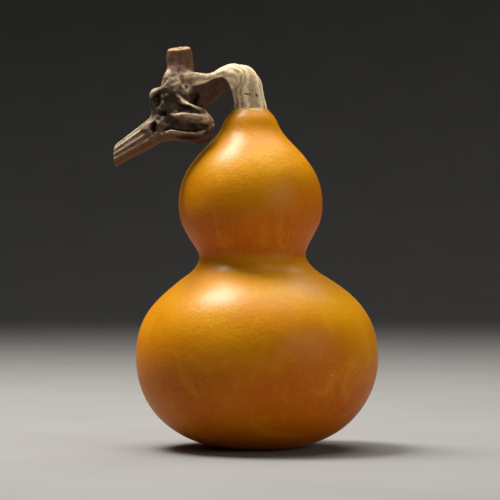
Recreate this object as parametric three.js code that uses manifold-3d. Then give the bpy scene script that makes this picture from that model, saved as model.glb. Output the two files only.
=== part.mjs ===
// A dried bottle gourd with its woody stem: a two-bellied fruit that stands on its blossom end, and the stalk that
// arches out of its top into a short cut length of vine.
// Millimetres, +Z up. The origin is the middle of the small flat that the fruit stands on; the vine lies towards -X
// and the side that is seen from the front faces -Y.
import * as THREE from "three";
import { LoftGeometry } from "three/addons/geometries/LoftGeometry.js";
import { mergeVertices } from "three/addons/utils/BufferGeometryUtils.js";
import Module from "manifold-3d";

// Driving dimensions of the fruit.
const FRUIT_HEIGHT = 69.1;
const FLAT_RADIUS = 3.7;
const BELLY_RADIUS = 24.6;
const BELLY_HEIGHT = 18.7;
const WAIST_RADIUS = 10.9;
const WAIST_HEIGHT = 39.1;
const CROWN_RADIUS = 14.6;
const CROWN_HEIGHT = 49.4;
const NECK_RADIUS = 5.75;
const NECK_HEIGHT = 65.5;
const RIM_RADIUS = 3.3;
const LEAN = -1.3; // how far the crown sits to one side of the belly
const LEAN_FROM = 31.3;
const LEAN_TO = 43.3;
const OVAL_SHARE = 0.012; // a grown fruit is never quite round
const FRUIT_SIDES = 56;
const POINTS_PER_STRETCH = 7;

// Driving dimensions of the stem.
const JOINT_GAP = 0.3; // between the fruit's top and the stalk's foot
const STALK_RADIUS = 3;
const VINE_RADIUS = 2.75;
const NODE_CENTRE = new THREE.Vector3(-15.9, -1.6, 70.5);
const NODE_RADII = new THREE.Vector3(4.7, 4.1, 5.4);
const LIMB_SIDES = 16;
const STEPS_PER_STATION = 4;

const RIND = new THREE.MeshStandardMaterial({ color: 0xe39a12, roughness: 0.42, metalness: 0 });
const BARK = new THREE.MeshStandardMaterial({ color: 0x8d7458, roughness: 0.85, metalness: 0 });

const wasm = await Module();
wasm.setup();

// ---------- shared helpers ----------

// A closed three.js geometry as a manifold-3d solid.
function solid(geometry) {
  const bare = new THREE.BufferGeometry();
  bare.setAttribute("position", geometry.getAttribute("position"));
  bare.setIndex(geometry.getIndex());
  const merged = mergeVertices(bare, 1e-4);
  const vertProperties = new Float32Array(merged.getAttribute("position").array);
  const triVerts = new Uint32Array(merged.index.array);
  return new wasm.Manifold(new wasm.Mesh({ numProp: 3, vertProperties, triVerts }));
}

// A manifold-3d solid as a three.js geometry.
function geometryOf(made) {
  const mesh = made.getMesh();
  const geometry = new THREE.BufferGeometry();
  geometry.setAttribute("position", new THREE.BufferAttribute(mesh.vertProperties, 3));
  geometry.setIndex(new THREE.BufferAttribute(mesh.triVerts, 1));
  geometry.computeVertexNormals();
  return geometry;
}

function named(name, geometry, material) {
  const mesh = new THREE.Mesh(geometry, material);
  mesh.name = name;
  return mesh;
}

// One place on a limb's centre line: where it is, and the section's half sizes in the X-Z plane and along Y.
function station(x, y, z, inPlane, along) {
  return { at: new THREE.Vector3(x, y, z), girth: new THREE.Vector3(inPlane, along, 0) };
}

// A tapering limb: oval sections lofted along a smooth line through its stations, cut square at both ends.
function limb(stations) {
  const line = new THREE.CatmullRomCurve3(stations.map((s) => s.at), false, "centripetal");
  const girths = new THREE.CatmullRomCurve3(stations.map((s) => s.girth), false, "catmullrom", 0.5);
  const steps = (stations.length - 1) * STEPS_PER_STATION;
  const sections = [];
  for (let i = 0; i <= steps; i++) {
    const t = i / steps;
    const centre = line.getPoint(t);
    const girth = girths.getPoint(t);
    const heading = line.getTangent(t);
    const depth = new THREE.Vector3(0, 1, 0).addScaledVector(heading, -heading.y).normalize();
    const across = new THREE.Vector3().crossVectors(depth, heading);
    const ring = [];
    for (let j = 0; j < LIMB_SIDES; j++) {
      const angle = (j / LIMB_SIDES) * Math.PI * 2;
      ring.push(
        centre
          .clone()
          .addScaledVector(across, Math.cos(angle) * girth.x)
          .addScaledVector(depth, Math.sin(angle) * girth.y),
      );
    }
    sections.push(ring);
  }
  return solid(new LoftGeometry(sections, { capStart: true, capEnd: true }));
}

function ellipsoid(centre, radii) {
  const ball = new THREE.SphereGeometry(1, 20, 12);
  return solid(ball.scale(radii.x, radii.y, radii.z).translate(centre.x, centre.y, centre.z));
}

// ---------- the fruit ----------

// The outline from the middle of the foot to the middle of the top, as stretches of one smooth curve. Each station is
// a radius, a height, the way that the outline heads there in degrees (0 is outwards, 90 is up), and how full the
// curve is on either side of it, as shares of the stretch's length.
function fruitOutline() {
  const stations = [
    { r: FLAT_RADIUS, z: 0, heading: 0, before: 0, after: 0.43 },
    { r: BELLY_RADIUS, z: BELLY_HEIGHT, heading: 90, before: 0.4, after: 0.4 },
    { r: BELLY_RADIUS * 0.548, z: WAIST_HEIGHT - 3.6, heading: 147, before: 0.41, after: 0.3 },
    { r: WAIST_RADIUS, z: WAIST_HEIGHT, heading: 90, before: 0.3, after: 0.3 },
    { r: CROWN_RADIUS * 0.84, z: WAIST_HEIGHT + 3.2, heading: 60, before: 0.3, after: 0.39 },
    { r: CROWN_RADIUS, z: CROWN_HEIGHT, heading: 90, before: 0.39, after: 0.39 },
    { r: CROWN_RADIUS * 0.6, z: NECK_HEIGHT - 3.9, heading: 135, before: 0.39, after: 0.34 },
    { r: NECK_RADIUS, z: NECK_HEIGHT, heading: 112, before: 0.34, after: 0.39 },
    { r: NECK_RADIUS * 0.79, z: NECK_HEIGHT + 2.1, heading: 125, before: 0.39, after: 0.39 },
    { r: RIM_RADIUS, z: FRUIT_HEIGHT, heading: 150, before: 0.39, after: 0 },
  ];
  const path = new THREE.Path();
  path.moveTo(0, 0);
  path.lineTo(FLAT_RADIUS, 0);
  for (let i = 1; i < stations.length; i++) {
    const [from, to] = [stations[i - 1], stations[i]];
    const length = Math.hypot(to.r - from.r, to.z - from.z);
    const leave = THREE.MathUtils.degToRad(from.heading);
    const arrive = THREE.MathUtils.degToRad(to.heading);
    path.bezierCurveTo(
      from.r + Math.cos(leave) * length * from.after,
      from.z + Math.sin(leave) * length * from.after,
      to.r - Math.cos(arrive) * length * to.before,
      to.z - Math.sin(arrive) * length * to.before,
      to.r,
      to.z,
    );
  }
  path.lineTo(0, FRUIT_HEIGHT);
  return path.getPoints(POINTS_PER_STRETCH);
}

// The turned outline, made a little oval and leant to one side above the belly, as it grew.
function gourdFruit() {
  const geometry = new THREE.LatheGeometry(fruitOutline(), FRUIT_SIDES).rotateX(Math.PI / 2);
  const places = geometry.getAttribute("position");
  for (let i = 0; i < places.count; i++) {
    const x = places.getX(i);
    const y = places.getY(i);
    const z = places.getZ(i);
    const angle = Math.atan2(y, x);
    const oval = 1 + OVAL_SHARE * (Math.cos(2 * angle) - 1);
    places.setXYZ(i, x * oval + LEAN * THREE.MathUtils.smoothstep(z, LEAN_FROM, LEAN_TO), y * oval, z);
  }
  return named("gourd_fruit", geometryOf(solid(geometry)), RIND);
}

// ---------- the stem ----------

// The fruit's own stalk: up out of the fruit, over in a tight arch and down into the side of the vine, where it
// flares into a deep web.
function stalk() {
  const foot = FRUIT_HEIGHT + JOINT_GAP;
  return limb([
    station(-1.75, 0, foot, STALK_RADIUS * 1.08, STALK_RADIUS * 1.08),
    station(-1.85, 0, foot + 2.6, STALK_RADIUS, STALK_RADIUS),
    station(-2.5, -0.1, foot + 4.9, STALK_RADIUS, STALK_RADIUS),
    station(-4.9, -0.3, foot + 6.1, STALK_RADIUS * 0.9, STALK_RADIUS * 0.92),
    station(-7.7, -0.7, foot + 4.8, STALK_RADIUS * 0.82, STALK_RADIUS * 0.82),
    station(-10, -1.1, foot + 3.4, STALK_RADIUS * 1.02, STALK_RADIUS * 0.85),
    station(-13, NODE_CENTRE.y, NODE_CENTRE.z + 1.4, STALK_RADIUS * 1.5, STALK_RADIUS * 0.9),
  ]);
}

// The vine above the node: a short stub with a cut end.
function upperStub() {
  return limb([
    station(-15.85, 0.5, 81.4, VINE_RADIUS * 0.9, VINE_RADIUS * 0.85),
    station(-15.85, 0.3, 79.2, VINE_RADIUS * 1.0, VINE_RADIUS * 0.95),
    station(-15.75, -0.3, 76, VINE_RADIUS * 1.16, VINE_RADIUS * 1.1),
    station(-15.6, -1, 72.6, VINE_RADIUS * 1.55, VINE_RADIUS * 1.4),
  ]);
}

// The vine below the node, running down and out to a slanted cut.
function lowerStub() {
  const whole = limb([
    station(-16.4, -1.8, 68.9, VINE_RADIUS * 1.5, VINE_RADIUS * 1.35),
    station(-19.3, -2.4, 65.3, VINE_RADIUS * 1.2, VINE_RADIUS * 1.1),
    station(-23.2, -3, 62.4, VINE_RADIUS * 0.92, VINE_RADIUS * 0.92),
    station(-28.6, -3.6, 58.9, VINE_RADIUS * 0.78, VINE_RADIUS * 0.8),
    station(-31.6, -3.9, 57.2, VINE_RADIUS * 0.76, VINE_RADIUS * 0.78),
  ]);
  const beyond = solid(new THREE.BoxGeometry(8, 12, 16).rotateY(-0.1).translate(-32.6, -3, 57.3));
  return whole.subtract(beyond);
}

// The collapsed base of a leaf stalk that was torn off: two lips with a mouth between them.
function leafStalkLips() {
  const upperLip = limb([
    station(-15.5, -2.6, 68.5, 2.1, 2.4),
    station(-12.6, -3, 66.8, 1.7, 2.6),
    station(-10.2, -2.8, 65.5, 1.45, 2.2),
    station(-8.5, -2.6, 64.6, 0.8, 1.3),
  ]);
  const lowerLip = limb([
    station(-17.5, -2.3, 66.1, 2.1, 2.5),
    station(-14.2, -2.6, 64.2, 1.6, 2.6),
    station(-11.2, -2.4, 63.2, 1.35, 2.4),
    station(-9.4, -2.2, 63, 0.95, 1.6),
  ]);
  return upperLip.add(lowerLip);
}

// The stub of a tendril on the far side of the node from the fruit.
function tendrilStub() {
  return limb([
    station(-18.6, -2, 71.5, 1.6, 1.5),
    station(-20.4, -2.2, 72.2, 1.15, 1.2),
    station(-21.7, -2.3, 72.5, 0.85, 0.95),
  ]);
}

// The woody stem grew as one, so its limbs are joined into one solid.
function vineStem() {
  const whole = [stalk(), upperStub(), lowerStub(), leafStalkLips(), tendrilStub()].reduce(
    (joined, next) => joined.add(next),
    ellipsoid(NODE_CENTRE, NODE_RADII),
  );
  return named("vine_stem", geometryOf(whole), BARK);
}

// ---------- the whole ----------

const gourd = new THREE.Group();
gourd.add(gourdFruit());
gourd.add(vineStem());

export default gourd;
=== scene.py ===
"""The looks of a dried bottle gourd: a waxy two-bellied fruit and the woody stem that arches out of its top.

Metres, +Z up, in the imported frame's own axes. The fruit stands on the origin, the vine lies towards -X and
the front faces -Y. The stem's form is worked out in millimetres above the fruit's top, and its mesh is scaled
to metres.
"""

import itertools
import logging
import math
from collections.abc import Callable, Iterable, Sequence
from dataclasses import dataclass, field
from enum import Enum

import bpy
import numpy as np
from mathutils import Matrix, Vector


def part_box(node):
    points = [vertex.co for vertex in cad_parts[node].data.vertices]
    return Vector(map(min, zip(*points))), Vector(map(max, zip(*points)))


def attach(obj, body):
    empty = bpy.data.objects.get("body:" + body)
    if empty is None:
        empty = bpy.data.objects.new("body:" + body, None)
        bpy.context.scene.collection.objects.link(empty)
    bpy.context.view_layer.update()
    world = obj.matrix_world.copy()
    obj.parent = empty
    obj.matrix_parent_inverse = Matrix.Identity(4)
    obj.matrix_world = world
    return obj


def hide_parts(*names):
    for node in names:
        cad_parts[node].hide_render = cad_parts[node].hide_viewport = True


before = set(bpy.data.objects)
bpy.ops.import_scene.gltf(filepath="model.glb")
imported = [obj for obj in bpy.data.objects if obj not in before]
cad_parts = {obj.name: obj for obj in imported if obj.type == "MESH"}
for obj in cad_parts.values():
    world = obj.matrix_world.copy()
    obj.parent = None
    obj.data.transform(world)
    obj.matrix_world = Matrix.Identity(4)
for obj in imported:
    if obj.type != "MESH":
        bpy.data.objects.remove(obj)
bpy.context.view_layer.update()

MM = 0.001
log = logging.getLogger("gourd")

Colour = tuple[float, float, float]


# ---------- numbers that both pieces share ----------


def ease(values: np.ndarray, start: float, end: float) -> np.ndarray:
    """Takes values smoothly from 0 at start to 1 at end.

    Args:
        values: The numbers to ease.
        start: The value that gives 0.
        end: The value that gives 1. It may lie below start.

    Returns:
        The eased numbers, from 0 to 1.
    """
    share = np.clip((values - start) / (end - start), 0.0, 1.0)
    return share * share * (3.0 - 2.0 * share)


def unit(vectors: np.ndarray) -> np.ndarray:
    """Gives each row its direction, with a length of 1."""
    return vectors / np.maximum(np.linalg.norm(vectors, axis=-1, keepdims=True), 1e-12)


def grow_together(first: np.ndarray, second: np.ndarray, softness: float) -> np.ndarray:
    """Joins two distance fields, with a fillet between them.

    Args:
        first: Distances to the first form, negative inside.
        second: Distances to the second form.
        softness: The reach of the fillet.

    Returns:
        Distances to the two forms grown into one.
    """
    share = np.clip(0.5 + 0.5 * (second - first) / softness, 0.0, 1.0)
    return second * (1.0 - share) + first * share - softness * share * (1.0 - share)


@dataclass(frozen=True)
class Waves:
    """Smooth random waves through space, the same on every run."""

    seed: int

    def tables(self) -> tuple[np.ndarray, np.ndarray]:
        """Gives the shuffled lattice numbers and the slope that each of them stands for."""
        draw = np.random.default_rng(self.seed)
        return draw.permutation(256), unit(draw.normal(size=(256, 3)))

    def at(self, places: np.ndarray, length: float) -> np.ndarray:
        """Reads one size of wave.

        Args:
            places: One row of three coordinates for each point.
            length: The distance from one crest to the next, in the same unit.

        Returns:
            Heights from about -1 to 1.
        """
        order, slopes = self.tables()
        scaled = places / length
        cell = np.floor(scaled).astype(np.int64)
        inside = scaled - cell
        fade = inside**3 * (inside * (inside * 6.0 - 15.0) + 10.0)
        height = np.zeros(len(places))
        for corner in itertools.product((0, 1), repeat=3):
            near = cell + corner
            pick = order[(order[(order[near[:, 0] & 255] + near[:, 1]) & 255] + near[:, 2]) & 255]
            rise = ((inside - corner) * slopes[pick]).sum(axis=1)
            height += rise * np.prod(np.where(corner, fade, 1.0 - fade), axis=1)
        return height * 1.7

    def layered(self, places: np.ndarray, length: float, layers: int = 3) -> np.ndarray:
        """Adds waves of ever smaller size, each half as long and half as high as the one before.

        Args:
            places: One row of three coordinates for each point.
            length: The longest wave's length.
            layers: How many sizes of wave there are.

        Returns:
            Heights from about -1 to 1.
        """
        sizes = [0.5**layer for layer in range(layers)]
        return sum(self.at(places, length * size) * size for size in sizes) / sum(sizes)


def smooth_line(stations: np.ndarray, steps: int) -> np.ndarray:
    """Runs one smooth curve through every station.

    Args:
        stations: One row for each station.
        steps: How many points each stretch gets.

    Returns:
        The curve's points, one row each.
    """
    first = 2.0 * stations[0] - stations[1]
    last = 2.0 * stations[-1] - stations[-2]
    rows = np.vstack([first, stations, last])
    t = np.linspace(0.0, 1.0, steps, endpoint=False)[:, None]
    stretches = []
    for a, b, c, d in zip(rows, rows[1:], rows[2:], rows[3:]):
        square = (2.0 * a - 5.0 * b + 4.0 * c - d) * t**2
        cube = (3.0 * b - a - 3.0 * c + d) * t**3
        stretches.append(0.5 * (2.0 * b + (c - a) * t + square + cube))
    return np.vstack([*stretches, stations[-1:]])


@dataclass
class Skin:
    """A mesh in the making: its points, its faces, and the masks that its finish reads."""

    points: np.ndarray
    faces: list[tuple[int, ...]]
    masks: dict[str, np.ndarray] = field(default_factory=dict)

    def piece(self, name: str) -> bpy.types.Object:
        """Makes the Blender object.

        Args:
            name: The object's name.

        Returns:
            The object, linked to the scene and shaded smooth.
        """
        mesh = bpy.data.meshes.new(name)
        mesh.from_pydata(self.points.tolist(), [], self.faces)
        mesh.validate()
        mesh.shade_smooth()
        for mask, values in self.masks.items():
            layer = mesh.attributes.new(mask, "FLOAT", "POINT")
            layer.data.foreach_set("value", values.astype(np.float32))
        made = bpy.data.objects.new(name, mesh)
        bpy.context.scene.collection.objects.link(made)
        return made


# ---------- finishes ----------


class Value:
    """A socket that does sums: an operator on it adds the Math node that works the sum out."""

    def __init__(self, recipe: "Recipe", socket: bpy.types.NodeSocket) -> None:
        """Holds the socket and the recipe that its nodes go in."""
        self.recipe = recipe
        self.socket = socket

    def sum(self, operation: str, *others: object) -> "Value":
        """Adds a Math node on this value.

        Args:
            operation: The Math node's operation.
            others: The values or links after this one.

        Returns:
            The node's result.
        """
        return self.recipe.node("ShaderNodeMath", {"operation": operation}, dict(enumerate((self, *others))))

    def __add__(self, other: object) -> "Value":
        """Adds."""
        return self.sum("ADD", other)

    __radd__ = __add__

    def __mul__(self, other: object) -> "Value":
        """Multiplies."""
        return self.sum("MULTIPLY", other)

    __rmul__ = __mul__

    def __sub__(self, other: object) -> "Value":
        """Subtracts the other from this."""
        return self.sum("SUBTRACT", other)

    def __rsub__(self, other: object) -> "Value":
        """Subtracts this from the other."""
        return self.recipe.node("ShaderNodeMath", {"operation": "SUBTRACT"}, {0: other, 1: self})

    def ease(self, start: float, end: float) -> "Value":
        """Takes this value smoothly from 0 at start to 1 at end.

        Args:
            start: The value that gives 0.
            end: The value that gives 1.

        Returns:
            The eased value.
        """
        limits = {"Value": self, "From Min": start, "From Max": end}
        return self.recipe.node("ShaderNodeMapRange", {"interpolation_type": "SMOOTHSTEP"}, limits)


class Recipe:
    """One material's nodes, written as expressions and ending in a Principled shader."""

    def __init__(self, name: str) -> None:
        """Starts an empty material with its shader.

        Args:
            name: The material's name.
        """
        self.material = bpy.data.materials.new(name)
        self.material.use_nodes = True
        self.tree = self.material.node_tree
        self.tree.nodes.clear()
        self.shader = self.tree.nodes.new("ShaderNodeBsdfPrincipled")
        output = self.tree.nodes.new("ShaderNodeOutputMaterial")
        self.tree.links.new(self.shader.outputs["BSDF"], output.inputs["Surface"])

    def plug(self, socket: bpy.types.NodeSocket, value: object) -> None:
        """Links a value to a socket, or sets the socket to a plain number, colour or vector.

        Args:
            socket: The input socket.
            value: A Value, a number or a tuple of numbers.
        """
        if isinstance(value, Value):
            self.tree.links.new(value.socket, socket)
        elif isinstance(value, tuple) and socket.type == "RGBA":
            socket.default_value = (*value[:3], 1.0)
        else:
            socket.default_value = value

    def node(
        self, kind: str, settings: dict[str, object], inputs: dict[object, object], output: object = 0
    ) -> Value:
        """Adds a node of any kind.

        Args:
            kind: The node's type.
            settings: The node's properties, set before its sockets.
            inputs: What each input socket, by name or number, is linked or set to.
            output: The output socket's name or number.

        Returns:
            That output.
        """
        made = self.tree.nodes.new(kind)
        for name, value in settings.items():
            setattr(made, name, value)
        for key, value in inputs.items():
            self.plug(made.inputs[key], value)
        return Value(self, made.outputs[output])

    def mask(self, name: str) -> Value:
        """Reads one of the mesh's own masks."""
        return self.node("ShaderNodeAttribute", {"attribute_name": name}, {}, "Fac")

    def places(self, stretch: Colour = (1.0, 1.0, 1.0)) -> Value:
        """Gives the surface's own coordinates.

        Args:
            stretch: What each coordinate is multiplied by.

        Returns:
            The coordinates, as a vector.
        """
        own = self.node("ShaderNodeTexCoord", {}, {}, "Object")
        return self.node("ShaderNodeVectorMath", {"operation": "MULTIPLY"}, {0: own, 1: stretch})

    def clouds(self, places: Value, length: float, detail: float = 2.0, wobble: float = 0.0) -> Value:
        """Adds smooth random clouds.

        Args:
            places: Where each point is.
            length: About how long one cloud is.
            detail: How many smaller sizes are laid over it.
            wobble: How much the clouds are bent.

        Returns:
            A value from 0 to 1, mostly near 0.5.
        """
        sizes = {"Vector": places, "Scale": 1.0 / length, "Detail": detail, "Distortion": wobble}
        return self.node("ShaderNodeTexNoise", {}, sizes, "Fac")

    def cells(self, places: Value, length: float, feature: str = "SMOOTH_F1") -> Value:
        """Adds a pattern of small cells.

        Args:
            places: Where each point is.
            length: About how wide one cell is.
            feature: What is measured in each cell.

        Returns:
            The distance from the cell's middle, or from its edge.
        """
        sizes = {"Vector": places, "Scale": 1.0 / length}
        return self.node("ShaderNodeTexVoronoi", {"feature": feature}, sizes, "Distance")

    def tint(self, amount: object, first: object, second: object, mode: str = "MIX") -> Value:
        """Mixes two colours.

        Args:
            amount: How much of the second shows, from 0 to 1.
            first: The colour below.
            second: The colour above.
            mode: How the two are mixed.

        Returns:
            The mixed colour.
        """
        settings = {"data_type": "RGBA", "blend_type": mode, "clamp_factor": True}
        return self.node("ShaderNodeMix", settings, {0: amount, 6: first, 7: second}, 2)

    def relief(self, height: Value, depth: float) -> Value:
        """Turns heights from 0 to 1 into a bumpy normal.

        Args:
            height: The heights.
            depth: How far apart 0 and 1 are, in metres.

        Returns:
            The normal.
        """
        return self.node("ShaderNodeBump", {}, {"Height": height, "Distance": depth, "Strength": 1.0})

    def finish(self, **sockets: object) -> bpy.types.Material:
        """Sets the shader's sockets.

        Args:
            sockets: Each socket's name, with _ for a space, and what it is linked or set to.

        Returns:
            The finished material.
        """
        for name, value in sockets.items():
            self.plug(self.shader.inputs[name.replace("_", " ")], value)
        return self.material


@dataclass(frozen=True)
class RindFinish:
    """Dried rind: golden, waxy, with a fine leathery grain, pale flecks and a corky ring round the stalk. It
    also carries painted shade, a deeper russet on the faces that look sideways and down, and its coat is kept
    to the upper faces, which paints where the highlights fall.
    """

    gold: Colour = (0.80, 0.36, 0.002)
    amber: Colour = (0.67, 0.24, 0.001)
    # The colour of the painted shade on faces that look sideways and down.
    shade_russet: Colour = (0.50, 0.085, 0.001)
    honey: Colour = (0.86, 0.44, 0.008)
    cream: Colour = (0.82, 0.56, 0.16)
    cork: Colour = (0.16, 0.075, 0.028)
    drift_length: float = 19 * MM
    blush_length: float = 6 * MM
    streak_width: float = 1.5 * MM
    fleck_gap: float = 2.6 * MM
    grain: float = 0.62 * MM
    grain_depth: float = 0.034 * MM
    puckers: float = 2.1 * MM
    pucker_depth: float = 0.07 * MM
    polish: float = 0.34
    glow_reach: tuple[float, float, float] = (2.4 * MM, 1.0 * MM, 0.3 * MM)

    def material(self) -> bpy.types.Material:
        """Makes the material."""
        recipe = Recipe("waxy_rind")
        places = recipe.places()
        drift = recipe.clouds(places, self.drift_length, 3.0, 0.4)
        blush = recipe.clouds(places, self.blush_length, 4.0, 0.6)
        lines = recipe.clouds(recipe.places((1.0, 1.0, 0.16)), self.streak_width, 3.0)
        pores = recipe.cells(places, self.grain)
        tone = recipe.tint(drift.ease(0.36, 0.66) * 0.8, self.gold, self.amber)
        # Painted shade: faces that look sideways and down are tinted a deeper russet through the
        # underside_shade mask.
        tone = recipe.tint(recipe.mask("underside_shade") * (0.62 + 0.4 * drift), tone, self.shade_russet)
        tone = recipe.tint(blush.ease(0.5, 0.78) * 0.3, tone, self.honey)
        tone = recipe.tint(lines.ease(0.52, 0.75) * 0.22, tone, self.amber)
        tone = recipe.tint(pores.ease(0.25, 0.7) * 0.22, tone, self.amber)
        fleck = recipe.cells(places, self.fleck_gap, "F1").ease(0.13, 0.05)
        tone = recipe.tint(fleck * blush.ease(0.42, 0.6) * 0.35, tone, self.cream)
        tone = recipe.tint(recipe.mask("collar"), tone, self.cream)
        tone = recipe.tint(recipe.mask("scar"), tone, self.cork)
        rough = 0.36 + 0.1 * blush + 0.05 * pores + 0.3 * recipe.mask("scar")
        # Painted highlight: the coat is strong on upward faces and fades on faces that look down.
        wax_and_top_sheen = 1.0 - recipe.mask("underside_shade")
        heights = recipe.clouds(places, self.puckers, 2.0, 0.8) * (self.pucker_depth / self.grain_depth)
        fine = recipe.clouds(places, self.grain * 0.7, 1.0)
        relief = recipe.relief(heights + pores * 1.2 + fine * 0.9, self.grain_depth)
        return recipe.finish(
            Base_Color=tone,
            Roughness=rough,
            Normal=relief,
            Specular_IOR_Level=0.12,
            Coat_Weight=wax_and_top_sheen * wax_and_top_sheen * self.polish,
            Coat_Roughness=0.3,
            Subsurface_Weight=0.05,
            Subsurface_Radius=self.glow_reach,
            Subsurface_Scale=1.0,
        )


@dataclass(frozen=True)
class BarkFinish:
    """Weathered vine wood: cream on the stalk and the ridges, rusty on stubs, ashy on the node. Painted light
    and shade lie on top: near black on the node's lower faces and where shade falls on it, dark under the
    arch and in crevices, rust-brown on the vine's lower faces, and paler on the upward faces of lips and
    ribs.
    """

    cream: Colour = (1.0, 0.81, 0.52)
    straw: Colour = (0.52, 0.34, 0.17)
    tan: Colour = (0.17, 0.095, 0.048)
    ash: Colour = (0.17, 0.135, 0.095)
    bleached_and_lit: Colour = (0.60, 0.49, 0.35)
    rust_and_shade: Colour = (0.11, 0.045, 0.019)
    rust_light: Colour = (0.18, 0.085, 0.038)
    umber: Colour = (0.058, 0.023, 0.014)
    # Near black, for painted shade on the node and in crevices.
    shade_dark: Colour = (0.016, 0.010, 0.007)
    stain: Colour = (0.25, 0.13, 0.045)
    wood: Colour = (0.50, 0.30, 0.14)
    fleck: float = 0.35 * MM
    mottle_length: float = 1.5 * MM
    crust_size: float = 0.8 * MM
    roughness_depth: float = 0.07 * MM

    def material(self) -> bpy.types.Material:
        """Makes the material."""
        recipe = Recipe("vine_wood")
        places = recipe.places()
        mottle = recipe.clouds(places, self.mottle_length, 5.0, 0.6)
        speck = recipe.clouds(places, self.fleck, 2.0)
        crust = recipe.cells(places, self.crust_size)
        fibre = recipe.mask("fibre")
        pale = recipe.mask("pale")
        crest = recipe.mask("crest")
        tone = recipe.tint(mottle.ease(0.38, 0.62), self.tan, self.ash)
        tone = recipe.tint(crest * 0.3 + speck.ease(0.5, 0.68) * mottle.ease(0.45, 0.6), tone, self.bleached_and_lit)
        # Rust on the stubs and the mouth, and painted shade on the vine's lower faces.
        rusty = recipe.tint(fibre.ease(0.35, 0.8) * 0.7, self.rust_and_shade, self.rust_light)
        tone = recipe.tint(recipe.mask("rust_and_shade"), tone, rusty)
        # Painted shade on the node, on its lower faces and where shade falls, partly its own dark bark.
        dark = recipe.tint(speck.ease(0.4, 0.65) * 0.5, self.shade_dark, self.umber)
        tone = recipe.tint(recipe.mask("node_dark_and_shade"), tone, dark)
        # Painted shade under the stalk's arch, partly the bark's own darker brown there.
        arch_shade_and_dark_bark = recipe.mask("arch_shade_and_dark_bark")
        shade = recipe.tint(mottle.ease(0.3, 0.7), self.umber, self.rust_and_shade)
        tone = recipe.tint(arch_shade_and_dark_bark, tone, shade)
        bright = recipe.tint(fibre.ease(0.55, 0.95) * 0.35, self.cream, self.straw)
        stained = recipe.tint(speck.ease(0.35, 0.6) * 0.8, self.straw, self.stain)
        bright = recipe.tint(recipe.mask("stain") * 0.85, bright, stained)
        tone = recipe.tint(pale, tone, bright)
        tone = recipe.tint(recipe.mask("sawn"), tone, self.wood)
        tone = recipe.tint(speck.ease(0.35, 0.7) * (0.3 - 0.2 * pale), tone, self.stain, "MULTIPLY")
        # Painted shade in crevices and hollows.
        tone = recipe.tint(recipe.mask("crevice_shade"), tone, self.shade_dark)
        heights = speck * 0.5 + mottle + fibre * 0.8 + crust * 0.5
        return recipe.finish(
            Base_Color=tone,
            Roughness=0.70 + 0.2 * mottle - 0.1 * pale,
            Normal=recipe.relief(heights, self.roughness_depth),
            Specular_IOR_Level=0.35,
        )


@dataclass(frozen=True)
class FloorFinish:
    """A plain pale matt floor."""

    paper: Colour = (0.25, 0.246, 0.24)
    shade: Colour = (0.235, 0.231, 0.225)
    cloud_length: float = 40 * MM

    def material(self) -> bpy.types.Material:
        """Makes the material."""
        recipe = Recipe("pale_floor")
        clouds = recipe.clouds(recipe.places(), self.cloud_length, 3.0)
        tone = recipe.tint(clouds.ease(0.3, 0.7), self.paper, self.shade)
        return recipe.finish(Base_Color=tone, Roughness=0.85)


# ---------- the fruit ----------


@dataclass(frozen=True)
class Bend:
    """One place on the fruit's outline, as shares of the belly's radius and of the fruit's height.

    heading is the way that the outline runs there in degrees, 0 outwards and 90 up. before and after say
    how full the curve is on either side, as shares of the stretch's length.
    """

    radius: float
    height: float
    heading: float
    before: float
    after: float


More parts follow.
